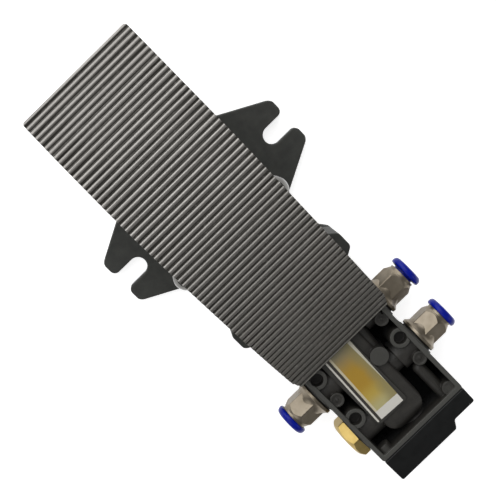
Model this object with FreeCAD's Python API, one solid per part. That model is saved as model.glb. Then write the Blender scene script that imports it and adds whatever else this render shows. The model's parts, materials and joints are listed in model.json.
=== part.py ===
import FreeCAD, Part
import math
import os

# Foot pedal air valve: a ribbed, arched pedal rocks on a pin in a cast frame and drives the spool of a
# four-port valve that is bolted to the frame's tongue. Millimetres.
# +X is to the right and +Y towards the toe end of the pedal, +Z is up. The origin is on the underside,
# midway between the two mounting slots.

V = FreeCAD.Vector
X_AXIS = V(1, 0, 0)
Y_AXIS = V(0, 1, 0)
Z_AXIS = V(0, 0, 1)

# Clearances
running_gap = 0.05
rest_gap = 0.3
side_gap = 0.8
press_gap = 0.02

# Pedal
pedal_width = 58.0
pedal_rear_width = 56.0
pedal_taper_start = 15.0
pedal_radius = 194.0
pedal_apex_y = 19.0
heel_gap = 2.83
pedal_front_angle = 17.85
pedal_plate = 3.4
groove_count = 63
groove_pitch = 2.715
first_groove = 1.75
groove_depth = 0.85
wide_groove = 1.3
narrow_groove = 0.95
groove_foot_share = 0.45
rear_land = 1.1
skirt_wall = 2.8
skirt_front_depth = 7.0
skirt_rear_depth = 8.0
skirt_rear_y = -66.0
skirt_boss_run = 20.8
skirt_boss_flat = 5.2
skirt_rear_dip = 1.5
skirt_front_rise = 0.5
pedal_corner = 1.6
pedal_waist_round = 60.0
pedal_heel_round = 2.0
pedal_end_round = 0.8
rear_chamfer_x = 1.7
rear_chamfer_y = 5.0
pedal_boss_radius = 6.5
pedal_rib = 2.4
pedal_rib_depth = 3.0
pedal_rib_x = 15.0
pedal_rib_front_end = 0.6
pedal_rib_rear_end = 6.0

# Pivot
pin_y = -12.4
pin_z = 50.5
pin_radius = 3.0
pin_head_radius = 5.1
pin_head_height = 3.0
pin_cap_height = 2.4
bush_wall = 1.2
bush_flange = 1.1
bush_flange_thickness = 0.4
pedal_travel = 8.0

# Drive arm under the pedal, its adjusting screw and the push rod
arm_half_width = 5.0
arm_hub_radius = 6.2
arm_hub_half_width = 8.0
arm_root_half = 17.0
arm_tip_half = 4.0
arm_tip_drop = 6.5
arm_neck_rise = 14.0
arm_neck_widening = 2.5
arm_root_round = 6.0
arm_neck_round = 8.0
arm_tip_round = 2.0
screw_radius = 2.5
screw_reach = 9.8
screw_tail = 10.5
nut_flats = 8.0
nut_height = 4.0
rod_radius = 3.0
rod_head_radius = 5.0
rod_head_height = 4.0
rod_tail_radius = 1.8
rod_tail_length = 5.5
rod_bush_wall = 1.5
rod_bush_lip = 1.5
rod_bush_tail = 1.5

# Cast frame
plate_thickness = 5.0
frame_front_y = 50.0
frame_nose_half = 20.0
frame_half = 28.0
slot_spacing = 85.0
slot_width = 8.5
ear_half_span = 53.0
ear_tip_half = 12.7
ear_root_half = 23.5
ear_corner = 2.8
lug_half_span = 32.6
lug_length = 7.9
lug_slope = 6.0
lug_height = 30.0
tongue_half = 23.0
cheek_thickness = 4.0
cheek_front_y = 36.0
cheek_front_rise = 6.0
cheek_rear_rise = 16.4
cheek_front_round = 5.0
cheek_rear_round = 8.0
cheek_boss_radius = 5.6
cheek_boss_meets = 30.0
web_thickness = 6.0
web_rise = 4.0
web_round = 6.0
rest_web_rise = 14.5
press_web_rise = 7.0
press_stop_y = 40.0
post_radius = 7.0
post_draught = 1.0
gusset_half = 1.5
gusset_rise = 14.0
buffer_radius = 5.0
buffer_stem = 2.5
buffer_stem_length = 7.0
buffer_height = 5.0
recess_depth = 2.4
recess_half = 16.5
tongue_recess_half = 13.5
recess_round = 3.0
frame_recesses = ((-48.0, -30.0), (-26.0, -7.0), (7.0, 32.0))
tongue_recesses = ((-34.0, -6.0), (-67.0, -39.0))
body_to_rest_stop = 12.0
body_to_cheek = 6.0
body_to_lug = 9.8

# Valve body
body_half = 24.6
body_front_y = -66.0
body_length = 73.6
body_bottom = 5.0
body_top = 27.3
body_wall = 2.2
body_floor = 4.0
body_corner = 1.2
spool_z = 14.0
port_z = 17.2
port_a_from_front = 19.2
port_pitch = 12.7
pad_radius = 9.8
pad_height = 0.6
port_bore = 6.55
port_depth = 11.0
passage_radius = 2.6
spool_bore = 5.0
chamber_radius = 6.2
chamber_width = 6.4
housing_wall = 2.6
housing_left = -12.8
housing_top = 24.8
housing_edge = 2.2
housing_end_rounding = 7.0
housing_end_gap = 0.7
tail_wall = 1.7
port_boss_wall = 1.0
port_boss_inner = 5.9
port_boss_step = 12.5
tower_x = 19.9
tower_radius = 4.7
tower_hole = 2.95
tower_hole_depth = 4.8
tower_offset = 7.8
stud_radius = 3.35
stud_offset = 5.7
stud_dish = 2.35
stud_dish_depth = 0.5
stud_nib = 0.8
disc_boss_radius = 4.35
disc_boss_x = 7.5
disc_boss_from_front = 36.4
front_tube_radius = 3.5
front_tube_slant = 4.0
rear_tube_radius = 2.9
rear_tube_x = 16.7
rear_tube_from_front = 54.7
tower_sink = 0.3
stud_sink = 1.2
disc_boss_sink = 0.6
draught = 0.45
corner_stud_offset = 1.5
label_pad_left = -14.6
label_pad_right = 3.4
label_pad_top = 26.0

# Spool, seals and return spring
land_gap = 0.05
spool_front_inset = 2.6
spool_rear_inset = 3.4
spool_neck = 3.0
seal_radius = 0.7
seal_groove = 3.56
seal_half_gap = 0.15
spring_wire = 0.8
spring_radius = 2.3
spring_pitch = 3.1
spring_pocket = 2.95
spring_pocket_depth = 12.0

# Front gland, end cap and screws
gland_radius = 8.0
gland_thread_radius = 6.0
gland_length = 7.0
gland_flange = 2.6
rod_seal_radius = 0.9
cap_thickness = 11.9
cap_thin = 8.1
cap_floor = 2.6
cap_side_inset = 0.2
cap_step_x = 9.5
cap_step_run = 2.3
cap_edge = 1.0
gasket_thickness = 0.5
gasket_inset = 0.5
cap_screw_radius = 1.5
cap_screw_head = 2.75
cap_screw_head_height = 2.0
cap_screw_length = 9.0
cap_screw_sink = 1.2
screw_socket = 2.5
screw_socket_depth = 1.3
screw_boss_wall = 1.6
hole_spare = 1.0
cap_screw_x = 19.9
cap_screw_low = 9.2
cap_screw_high = 23.2
body_screw_radius = 2.0
body_screw_head = 3.6
body_screw_head_height = 1.9
body_screw_sink = 0.6
body_screw_length = 7.0

# Push-in fittings for 8 mm tube
tube_bore = 4.1
fitting_flats = 14.0
flange_radius = 9.3
flange_start = 0.6
flange_end = 2.6
flange_edge = 0.4
shoulder_end = 5.4
hex_end = 13.8
neck_end = 15.1
neck_radius = 6.4
hex_rounding = 2.8
hex_end_radius = 6.7
stem_radius = 6.5
stem_length = 9.0
fitting_passage = 3.0
tube_stop = -2.0
tube_seat_end = 5.0
seal_pocket_radius = 5.7
seal_pocket_end = 7.4
tube_seal_section = 0.78
grab_ring_thickness = 0.4
collar_radius = 7.85
collar_thickness = 3.3
collar_lap = 0.2
collar_stem = 5.1
collar_stem_start = 9.4
guide_length = 3.0
collar_travel = 1.0
face_seal_radius = 8.0
port_a_turn = 20.0
port_a_collar_out = 1.2

# Exhaust silencer
silencer_flats = 19.0
silencer_length = 5.2
silencer_bore = 6.0
silencer_passage = 4.0
silencer_disc_depth = 1.6
silencer_disc_thickness = 2.4

# Label plate
label_width = 15.2
label_length = 42.0
label_thickness = 0.35
label_skew = 2.6
label_corner = 0.4
label_end_x = -6.3
label_from_front = 58.6


def slab(x, y, z):
    return Part.makeBox(x[1] - x[0], y[1] - y[0], z[1] - z[0], V(x[0], y[0], z[0]))


def rod(radius, start, direction, length):
    return Part.makeCylinder(radius, length, start, direction)


def rounded_wire(points, radii, place):
    """A closed outline with a tangent arc at each corner that has a radius."""
    count = len(points)
    starts, ends, mids = [], [], []
    for i in range(count):
        corner = V(*points[i], 0)
        before = (V(*points[i - 1], 0) - corner).normalize()
        after = (V(*points[(i + 1) % count], 0) - corner).normalize()
        half = before.getAngle(after) / 2
        run = radii[i] / math.tan(half)
        bisector = before + after
        if radii[i] > 0:
            bisector.normalize()
        starts.append(corner + before * run)
        ends.append(corner + after * run)
        mids.append(corner + bisector * (radii[i] / math.sin(half) - radii[i]))
    edges = []
    for i in range(count):
        if radii[i] > 0:
            edges.append(Part.Arc(place(starts[i]), place(mids[i]), place(ends[i])).toShape())
        following = starts[(i + 1) % count]
        if ends[i].distanceToPoint(following) > 1e-6:
            edges.append(Part.makeLine(place(ends[i]), place(following)))
    return Part.Wire(edges)


def plan_prism(points, radii, z_low, z_high):
    wire = rounded_wire(points, radii, lambda p: V(p.x, p.y, z_low))
    return Part.Face(wire).extrude(V(0, 0, z_high - z_low))


def side_prism(points, radii, x_low, x_high):
    wire = rounded_wire(points, radii, lambda p: V(x_low, p.x, p.y))
    return Part.Face(wire).extrude(V(x_high - x_low, 0, 0))


def end_prism(points, radii, y_low, y_high):
    wire = rounded_wire(points, radii, lambda p: V(p.x, y_low, p.y))
    return Part.Face(wire).extrude(V(0, y_high - y_low, 0))


def mirrored(points):
    return points + [(-x, y) for x, y in reversed(points)]


def turned(points, start, direction):
    """A solid of revolution from (along, radius) points, about the line through start."""
    side = Z_AXIS if abs(direction.z) < 0.5 else X_AXIS
    corners = [start + direction * a + side * r for a, r in points]
    face = Part.Face(Part.makePolygon(corners + [corners[0]]))
    return face.revolve(start, direction, 360)


def hexagon(flats, start, direction, length, turn):
    """A hexagonal bar; turn is the angle of its first corner from straight up."""
    corner_radius = flats / math.sqrt(3)
    side = Z_AXIS if abs(direction.z) < 0.5 else X_AXIS
    across = direction.cross(side)
    corners = []
    for k in range(6):
        angle = math.radians(turn + 60 * k)
        corner = side * math.cos(angle) + across * math.sin(angle)
        corners.append(start + corner * corner_radius)
    return Part.Face(Part.makePolygon(corners + [corners[0]])).extrude(direction * length)


def ring(mean_radius, section, centre, direction):
    """A rubber ring of eight-sided section."""
    flat = section * math.tan(math.pi / 8)
    profile = [(section, flat), (flat, section), (-flat, section), (-section, flat)]
    profile += [(-section, -flat), (-flat, -section), (flat, -section), (section, -flat)]
    return turned([(a, mean_radius + r) for a, r in profile], centre, direction)


# Places worked out from the driving dimensions
under_radius = pedal_radius - pedal_plate - groove_depth
groove_step = math.degrees(groove_pitch / pedal_radius)
pedal_rear_angle = pedal_front_angle - math.degrees(
    (first_groove + (groove_count - 1) * groove_pitch + rear_land) / pedal_radius
)
heel_z = label_pad_top + label_thickness + heel_gap
arc_centre_z = heel_z - under_radius * math.cos(math.radians(pedal_rear_angle))
pedal_apex_z = arc_centre_z + pedal_radius
body_rear_y = body_front_y - body_length
port_a_y = body_front_y - port_a_from_front
rest_stop_y = body_front_y + body_to_rest_stop
cheek_rear_y = body_front_y + body_to_cheek
lug_rear_y = body_front_y + body_to_lug
lug_front_y = lug_rear_y + lug_length
travel = math.radians(pedal_travel)
lever = pin_z - spool_z
screw_nose = screw_radius + 0.5
stroke = lever * math.sin(travel) - (screw_reach - screw_nose) * (1 - math.cos(travel))
cheek_outer = pedal_width / 2 - skirt_wall - side_gap
cheek_inner = cheek_outer - cheek_thickness
bush_radius = pin_radius + running_gap + bush_wall
rod_bush_radius = rod_radius + running_gap + rod_bush_wall
rod_bush_flange = rod_bush_radius + rod_bush_lip
port_a = V(1, port_a_y, 1)
port_p = V(-1, port_a_y - port_pitch, 1)
port_b = V(1, port_a_y - 2 * port_pitch, 1)
port_r = V(-1, port_a_y - 3 * port_pitch, 1)
ports = [port_a, port_p, port_b, port_r]
disc_boss_y = body_front_y - disc_boss_from_front
pad_face = body_half + pad_height
body_pockets_floor = body_bottom + body_floor
housing_right = chamber_radius + housing_wall
housing_rear_y = body_rear_y + body_wall + housing_end_gap
port_boss_radius = port_bore + port_boss_wall
tower_places = [(p.x * tower_x, p.y + tower_offset) for p in (port_p, port_r, port_b)]
stud_places = [(p.x * tower_x, p.y - stud_offset) for p in ports]
screw_seat_z = body_screw_sink + body_screw_head_height
contact_y = pin_y - screw_reach
rod_nose_y = contact_y - rest_gap
spool_front_y = body_front_y - spool_front_inset
spool_rear_y = body_rear_y + spool_rear_inset
cap_face_y = body_rear_y - gasket_thickness
cap_back_y = cap_face_y - cap_thickness
cap_thin_y = cap_face_y - cap_thin
cap_screw_seat_y = cap_thin_y + cap_screw_head_height + cap_screw_sink
silencer_disc_start = silencer_length - silencer_disc_depth - silencer_disc_thickness
collar_start = neck_end - collar_lap
collar_floor = neck_end + collar_travel + rest_gap
collar_end = collar_start + collar_thickness
cap_screw_places = [(sx * cap_screw_x, z) for sx in (-1, 1) for z in (cap_screw_low, cap_screw_high)]


def on_arc(radius, angle):
    a = math.radians(angle)
    return (pedal_apex_y + radius * math.sin(a), arc_centre_z + radius * math.cos(a))


def arc_height(radius, y):
    return arc_centre_z + math.sqrt(radius ** 2 - (y - pedal_apex_y) ** 2)


def yz(point, x):
    return V(x, point[0], point[1])


def arc_edge(radius, from_angle, to_angle, x):
    middle = (from_angle + to_angle) / 2
    return Part.Arc(
        yz(on_arc(radius, from_angle), x), yz(on_arc(radius, middle), x), yz(on_arc(radius, to_angle), x)
    ).toShape()


def pedal_plan(inset):
    """Plan outline of the pedal, narrowing towards the heel."""
    half = pedal_width / 2 - inset
    rear_half = pedal_rear_width / 2 - inset
    front_y = on_arc(pedal_radius, pedal_front_angle)[0] - inset
    rear_y = on_arc(pedal_radius, pedal_rear_angle)[0] + inset
    right = [
        (half, front_y),
        (half, pedal_taper_start),
        (rear_half, rear_y + rear_chamfer_y),
        (rear_half - rear_chamfer_x, rear_y),
    ]
    corner = max(pedal_corner - inset, 0.4)
    radii = [corner, pedal_waist_round, pedal_heel_round, pedal_end_round]
    return plan_prism(mirrored(right), radii + radii[::-1], 0, pedal_apex_z + 1)


def wall_edge(radius_a, angle_a, radius_b, angle_b, x):
    """A straight edge between two points given by arc radius and angle."""
    return Part.makeLine(yz(on_arc(radius_a, angle_a), x), yz(on_arc(radius_b, angle_b), x))


def ribbed_plate():
    """The arched tread: alternate wide and narrow cross grooves leave the ribs in pairs."""
    x = -pedal_width / 2 - 1
    floor_radius = pedal_radius - groove_depth
    edges = []
    angle = pedal_front_angle
    for k in range(groove_count):
        centre = pedal_front_angle - math.degrees(first_groove / pedal_radius) - k * groove_step
        width = narrow_groove if k % 2 else wide_groove
        top = math.degrees(width / 2 / pedal_radius)
        foot = top * groove_foot_share
        edges.append(arc_edge(pedal_radius, angle, centre + top, x))
        edges.append(wall_edge(pedal_radius, centre + top, floor_radius, centre + foot, x))
        edges.append(arc_edge(floor_radius, centre + foot, centre - foot, x))
        edges.append(wall_edge(floor_radius, centre - foot, pedal_radius, centre - top, x))
        angle = centre - top
    edges.append(arc_edge(pedal_radius, angle, pedal_rear_angle, x))
    edges.append(wall_edge(pedal_radius, pedal_rear_angle, under_radius, pedal_rear_angle, x))
    edges.append(arc_edge(under_radius, pedal_rear_angle, pedal_front_angle, x))
    edges.append(wall_edge(under_radius, pedal_front_angle, pedal_radius, pedal_front_angle, x))
    return Part.Face(Part.Wire(edges)).extrude(V(pedal_width + 2, 0, 0))


def skirt_band():
    """Side profile of the skirts: shallow at the toe, deep at the pin and gone at the heel."""
    x = -pedal_width / 2 - 1
    top_radius = under_radius + 0.5
    rear = on_arc(under_radius - 0.3, pedal_rear_angle)
    toe = on_arc(pedal_radius - skirt_front_depth, pedal_front_angle)
    low_z = pin_z - pedal_boss_radius
    lower = [
        rear,
        (skirt_rear_y, arc_height(pedal_radius, skirt_rear_y) - skirt_rear_depth),
        (pin_y - skirt_boss_run, pin_z - skirt_rear_dip),
        (pin_y - skirt_boss_flat, low_z),
        (pin_y + skirt_boss_flat, low_z),
        (pin_y + skirt_boss_run, pin_z + skirt_front_rise),
        toe,
    ]
    edges = [arc_edge(top_radius, pedal_front_angle, pedal_rear_angle, x)]
    edges.append(Part.makeLine(yz(on_arc(top_radius, pedal_rear_angle), x), yz(rear, x)))
    for a, b in zip(lower, lower[1:]):
        edges.append(Part.makeLine(yz(a, x), yz(b, x)))
    edges.append(Part.makeLine(yz(toe, x), yz(on_arc(top_radius, pedal_front_angle), x)))
    return Part.Face(Part.Wire(edges)).extrude(V(pedal_width + 2, 0, 0))


def under_ribs():
    """Two stiffening ribs along the underside of the tread."""
    low = under_radius - pedal_rib_depth
    high = under_radius + 0.5
    front = pedal_front_angle - pedal_rib_front_end
    rear = pedal_rear_angle + pedal_rib_rear_end
    bands = []
    for centre in (-pedal_rib_x, pedal_rib_x):
        x = centre - pedal_rib / 2
        edges = [arc_edge(high, front, rear, x), wall_edge(high, rear, low, rear, x)]
        edges += [arc_edge(low, rear, front, x), wall_edge(low, front, high, front, x)]
        bands.append(Part.Face(Part.Wire(edges)).extrude(V(pedal_rib, 0, 0)))
    return bands


def drive_arm():
    """The lever cast under the pedal: a hub round the pin and a blade down to the adjusting screw."""
    neck = arm_tip_half + arm_neck_widening
    halves = [
        (arm_root_half, pin_z, arm_root_round),
        (neck, spool_z + arm_neck_rise, arm_neck_round),
        (arm_tip_half, spool_z + arm_tip_drop, 0),
        (arm_tip_half, spool_z - arm_tip_drop, arm_tip_round),
    ]
    rear_root = pin_y - arm_root_half
    front_root = pin_y + arm_root_half
    outline = [(y, arc_height(under_radius + 0.5, y)) for y in (rear_root, front_root)]
    outline += [(pin_y + half, z) for half, z, corner in halves]
    outline += [(pin_y - half, z) for half, z, corner in reversed(halves)]
    corners = [corner for half, z, corner in halves]
    radii = [0, 0] + corners + corners[::-1]
    blade = side_prism(outline, radii, -arm_half_width, arm_half_width)
    hub = rod(arm_hub_radius, V(-arm_hub_half_width, pin_y, pin_z), X_AXIS, 2 * arm_hub_half_width)
    return blade.fuse(hub)


def pedal():
    plan = pedal_plan(0)
    ring_plan = plan.cut(pedal_plan(skirt_wall))
    plate = ribbed_plate().common(plan)
    skirts = skirt_band().common(ring_plan)
    shape = plate.fuse([skirts, drive_arm()] + under_ribs())
    shape = shape.cut(rod(pin_radius + press_gap, V(-pedal_width, pin_y, pin_z), X_AXIS, 2 * pedal_width))
    thread = rod(screw_radius + press_gap, V(0, pin_y - arm_root_half, spool_z), Y_AXIS, 2 * arm_root_half)
    return shape.cut(thread).removeSplitter()


def dome(radius, height, base, direction):
    """A flattened rivet head."""
    ball = (radius ** 2 + height ** 2) / (2 * height)
    head = Part.makeSphere(ball, base + direction * (height - ball))
    return head.common(rod(radius, base, direction, height))


def pivot_pin():
    face = pedal_width / 2 - taper_inset(pin_y + pin_head_radius)
    shaft = rod(pin_radius, V(-face, pin_y, pin_z), X_AXIS, 2 * face)
    return shaft.fuse(dome(pin_head_radius, pin_head_height, V(-face, pin_y, pin_z), V(-1, 0, 0)))


def pin_cap():
    face = pedal_width / 2 - taper_inset(pin_y + pin_head_radius)
    return dome(pin_head_radius, pin_cap_height, V(face, pin_y, pin_z), X_AXIS)


def taper_inset(y):
    """How far the tapering pedal edge has come in at y."""
    rear_y = on_arc(pedal_radius, pedal_rear_angle)[0] + rear_chamfer_y
    share = (pedal_taper_start - y) / (pedal_taper_start - rear_y)
    return max(share, 0) * (pedal_width - pedal_rear_width) / 2


def pivot_bushes():
    """Flanged bushes in the frame's two cheeks; the flanges face the pedal's arm."""
    solids = []
    for side in (-1, 1):
        out = V(side, 0, 0)
        start = V(side * (cheek_inner - bush_flange_thickness), pin_y, pin_z)
        profile = [
            (0, pin_radius + running_gap),
            (0, bush_radius + bush_flange),
            (bush_flange_thickness, bush_radius + bush_flange),
            (bush_flange_thickness, bush_radius),
            (bush_flange_thickness + cheek_thickness, bush_radius),
            (bush_flange_thickness + cheek_thickness, pin_radius + running_gap),
        ]
        solids.append(turned(profile, start, out))
    return Part.makeCompound(solids)


def adjusting_screw():
    """A round-nosed set screw through the arm's tip, with a hexagon socket in its tail."""
    start = V(0, contact_y + screw_nose, spool_z)
    length = pin_y + screw_tail - start.y
    shape = rod(screw_radius, start, Y_AXIS, length)
    nose = [
        (0, 0),
        (0, 0.4 * screw_nose),
        (0.3 * screw_nose, 0.85 * screw_nose),
        (0.7 * screw_nose, screw_nose),
        (screw_nose + 1.6, screw_nose),
        (screw_nose + 1.6, 0),
    ]
    shape = shape.fuse(turned(nose, V(0, contact_y, spool_z), Y_AXIS))
    socket = hexagon(2.5, V(0, pin_y + screw_tail - 2.5, spool_z), Y_AXIS, 4, 0)
    return shape.cut(socket)


def lock_nut():
    start = V(0, pin_y + arm_tip_half, spool_z)
    shape = hexagon(nut_flats, start, Y_AXIS, nut_height, 0)
    return shape.cut(rod(screw_radius + press_gap, start - Y_AXIS, Y_AXIS, nut_height + 2))


def base_outline():
    """Plan outline of the frame's plate: nose, slotted ears, heel lugs and the tongue."""
    slot_half = slot_width / 2
    ear_slope = 1.6
    right = [
        (frame_nose_half, frame_front_y),
        (frame_half, cheek_front_y),
        (frame_half, ear_root_half + 1.5),
        (ear_half_span - ear_slope, ear_tip_half),
        (ear_half_span, ear_tip_half - ear_slope),
        (ear_half_span, slot_half),
        (slot_spacing / 2, slot_half),
        (slot_spacing / 2, -slot_half),
        (ear_half_span, -slot_half),
        (ear_half_span, ear_slope - ear_tip_half),
        (ear_half_span - ear_slope, -ear_tip_half),
        (frame_half, -ear_root_half - 1.5),
        (frame_half, lug_front_y + lug_slope),
        (lug_half_span, lug_front_y),
        (lug_half_span, lug_rear_y),
        (tongue_half, body_front_y - 1.0),
        (tongue_half, body_rear_y),
    ]
    radii = [6, 8, 6, ear_corner, ear_corner, ear_corner, 0, 0, ear_corner, ear_corner, ear_corner]
    radii += [6, 4, 3, 2.5, 2, 2]
    return right, radii


def slot_end(side):
    return rod(slot_width / 2, V(side * slot_spacing / 2, 0, -1), Z_AXIS, plate_thickness + 2)


def cheek(side):
    """One upright: a wide foot narrowing to the boss that holds the pin, with the heel lug outside it."""
    x_low = cheek_inner if side > 0 else -cheek_outer
    meets = math.radians(cheek_boss_meets)
    half, rise = cheek_boss_radius * math.cos(meets), cheek_boss_radius * math.sin(meets)
    points = [
        (cheek_front_y, plate_thickness),
        (cheek_front_y, plate_thickness + cheek_front_rise),
        (pin_y + half, pin_z + rise),
        (pin_y - half, pin_z + rise),
        (cheek_rear_y, plate_thickness + cheek_rear_rise),
        (cheek_rear_y, plate_thickness),
    ]
    radii = [0, cheek_front_round, 0, 0, cheek_rear_round, 0]
    wall = side_prism(points, radii, x_low, x_low + cheek_thickness)
    boss = rod(cheek_boss_radius, V(x_low, pin_y, pin_z), X_AXIS, cheek_thickness)
    lug = [(side * (cheek_outer - 1), lug_front_y + lug_slope + 1), (side * lug_half_span, lug_front_y)]
    lug += [(side * lug_half_span, lug_rear_y), (side * (cheek_outer - 1), lug_rear_y - lug_slope + 1)]
    shape = wall.fuse([boss, plan_prism(lug, [0, 3, 2.5, 0], plate_thickness, lug_height)])
    bore = rod(bush_radius, V(x_low - 1, pin_y, pin_z), X_AXIS, cheek_thickness + 2)
    return shape.cut(bore).removeSplitter()


def buffer_centre(y, turn):
    """Height of a buffer's dome centre so that the dome lies just clear of the pedal turned by turn."""
    dy, dz = pedal_apex_y - pin_y, arc_centre_z - pin_z
    centre_y = pin_y + dy * math.cos(turn) + dz * math.sin(turn)
    centre_z = pin_z - dy * math.sin(turn) + dz * math.cos(turn)
    reach = under_radius - rest_gap - buffer_radius
    return centre_z + math.sqrt(reach ** 2 - (y - centre_y) ** 2)


def post_top(y, turn):
    return buffer_centre(y, turn) - buffer_height


def rubber_buffer(y, turn):
    """A domed rubber buffer whose stem is pushed into the top of a post."""
    top = buffer_centre(y, turn)
    base = V(0, y, post_top(y, turn))
    shape = rod(buffer_radius, base, Z_AXIS, buffer_height)
    shape = shape.fuse(Part.makeSphere(buffer_radius, V(0, y, top)))
    return shape.fuse(rod(buffer_stem, base, -Z_AXIS, buffer_stem_length)).removeSplitter()


def stop_post(y, turn, web_top):
    """A round post on a cross web with a gusset, bored for a buffer's stem."""
    top = post_top(y, turn)
    height = top - plate_thickness
    post = Part.makeCone(post_radius + post_draught, post_radius, height, V(0, y, plate_thickness))
    half = [(cheek_inner, plate_thickness), (cheek_inner, web_top), (post_radius, web_top + web_rise)]
    radii = [0, 0, web_round]
    web = end_prism(mirrored(half), radii + radii[::-1], y - web_thickness / 2, y + web_thickness / 2)
    hole = V(0, y, top - buffer_stem_length - 0.5)
    return post.fuse(web).cut(rod(buffer_stem + press_gap, hole, Z_AXIS, top - hole.z + 1))


def heel_post():
    """The post under the pedal's heel; the push rod's bush sits in its web."""
    shape = stop_post(rest_stop_y, 0, plate_thickness + rest_web_rise)
    bore = rod(rod_bush_radius, V(0, rest_stop_y - post_radius - 5, spool_z), Y_AXIS, 2 * post_radius + 10)
    spotface = V(0, rest_stop_y + web_thickness / 2, spool_z)
    return shape.cut([bore, rod(rod_bush_flange + rest_gap, spotface, Y_AXIS, post_radius)]).removeSplitter()


def toe_post():
    """The post that ends the pedal's travel, with a rib towards the nose of the frame."""
    shape = stop_post(press_stop_y, travel, plate_thickness + press_web_rise)
    rib = slab(
        (-gusset_half, gusset_half),
        (press_stop_y + post_radius - 1, frame_front_y - 1),
        (plate_thickness, plate_thickness + gusset_rise),
    )
    return shape.fuse(rib).removeSplitter()


def recess(half, y_low, y_high):
    pocket = [(-half, y_low), (half, y_low), (half, y_high), (-half, y_high)]
    return plan_prism(pocket, [recess_round] * 4, -1, recess_depth)


def base_frame():
    """The flat foot of the frame: nose, slotted ears, lug feet and the tongue that carries the valve."""
    right, radii = base_outline()
    plate = plan_prism(mirrored(right), radii + radii[::-1], 0, plate_thickness)
    cuts = [slot_end(side) for side in (-1, 1)]
    cuts += [recess(recess_half, y_low, y_high) for y_low, y_high in frame_recesses]
    for rear, front in tongue_recesses:
        cuts.append(recess(tongue_recess_half, body_front_y + rear, body_front_y + front))
    for x, y in tower_places:
        cuts.append(rod(body_screw_radius + 0.2, V(x, y, -1), Z_AXIS, plate_thickness + 2))
        cuts.append(rod(body_screw_head + 0.2, V(x, y, -1), Z_AXIS, screw_seat_z + 1))
    return plate.cut(cuts).removeSplitter()


def rod_bush():
    length = web_thickness + rod_bush_tail
    start = V(0, rest_stop_y - web_thickness / 2 - rod_bush_tail, spool_z)
    profile = [
        (0, rod_radius + running_gap),
        (0, rod_bush_radius),
        (length, rod_bush_radius),
        (length, rod_bush_flange),
        (length + rod_bush_lip, rod_bush_flange),
        (length + rod_bush_lip, rod_radius + running_gap),
    ]
    return turned(profile, start, Y_AXIS)


def body_shell():
    outer = [(body_half, body_front_y), (body_half, body_rear_y)]
    shell = plan_prism(mirrored(outer), [body_corner] * 4, body_bottom, body_top)
    inner_half = body_half - body_wall
    inner = [(inner_half, body_front_y - body_wall - 1), (inner_half, body_rear_y + body_wall)]
    cavity = plan_prism(mirrored(inner), [1.0] * 4, body_pockets_floor, body_top + 1)
    return shell.cut(cavity)


def spool_housing():
    """The broad housing of the bore, rounded along its edges and ending in a dome."""
    low_z = body_pockets_floor - 1
    front_y = body_front_y - 1
    left, right, rear = housing_left, housing_right, housing_rear_y
    section = [(left, low_z), (right, low_z), (right, housing_top), (left, housing_top)]
    block = end_prism(section, [0, 0, housing_edge, housing_edge], rear, front_y)
    corner = (right - left) / 2 - 0.5
    plan = [(right, front_y), (right, rear), (left, rear), (left, front_y)]
    block = block.common(plan_prism(plan, [0, corner, corner, 0], low_z, housing_top))
    side = [(front_y, low_z), (front_y, housing_top), (rear, housing_top), (rear, low_z)]
    block = block.common(side_prism(side, [0, 0, housing_end_rounding, 0], left, right))
    tail = rod(spool_bore + tail_wall, V(0, body_rear_y, spool_z), Y_AXIS, rear - body_rear_y + 3)
    return [block, tail]


def label_pad():
    points = [(label_pad_left, body_front_y - 1), (label_pad_right, body_front_y - 1)]
    points += [(label_pad_right, port_r.y - 2.6), (label_pad_left, port_r.y - 2.6)]
    return plan_prism(points, [0, 0, 2, 2], body_pockets_floor - 1, label_pad_top)


def port_bosses():
    solids = []
    for port in ports:
        start = V(port.x * pad_face, port.y, port_z)
        solids.append(rod(pad_radius, start, V(-port.x, 0, 0), pad_height + 1))
        solids.append(rod(port_boss_radius, start, V(-port.x, 0, 0), port_boss_step))
        solids.append(rod(port_boss_inner, start, V(-port.x, 0, 0), pad_face - 4))
    return solids


def towers():
    """Draughted towers and studs that stand up from the floor of the casting."""
    solids = []
    height = body_top - tower_sink - body_pockets_floor + 1
    low_z = body_pockets_floor - 1
    for x, y in tower_places:
        solids.append(Part.makeCone(tower_radius + draught, tower_radius, height, V(x, y, low_z)))
    height = body_top - stud_sink - body_pockets_floor + 1
    corner_y = body_rear_y + body_wall + corner_stud_offset
    for x, y in stud_places + [(-tower_x, corner_y), (tower_x, corner_y)]:
        solids.append(Part.makeCone(stud_radius + draught, stud_radius, height, V(x, y, low_z)))
    foot = V(disc_boss_x, disc_boss_y, low_z)
    height = body_top - disc_boss_sink - body_pockets_floor + 1
    solids.append(Part.makeCone(disc_boss_radius + draught, disc_boss_radius, height, foot))
    return solids


def cast_passages():
    """Cored passages that show as tubes: one from the front wall to the disc boss, one at the rear."""
    start = V(disc_boss_x + front_tube_slant, body_front_y - 1, spool_z + 6)
    end = V(disc_boss_x, disc_boss_y, spool_z + 6)
    solids = [rod(front_tube_radius, start, end - start, (end - start).Length)]
    rear_tube_y = body_front_y - rear_tube_from_front
    start = V(rear_tube_x, rear_tube_y, spool_z + 7)
    solids.append(rod(rear_tube_radius, start, -Y_AXIS, rear_tube_y - body_rear_y - 1))
    solids.append(Part.makeSphere(rear_tube_radius, start))
    solids.append(slab(
        (rear_tube_x - rear_tube_radius, rear_tube_x + rear_tube_radius),
        (body_rear_y + 1, rear_tube_y),
        (body_pockets_floor - 1, spool_z + 7),
    ))
    return solids


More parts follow.
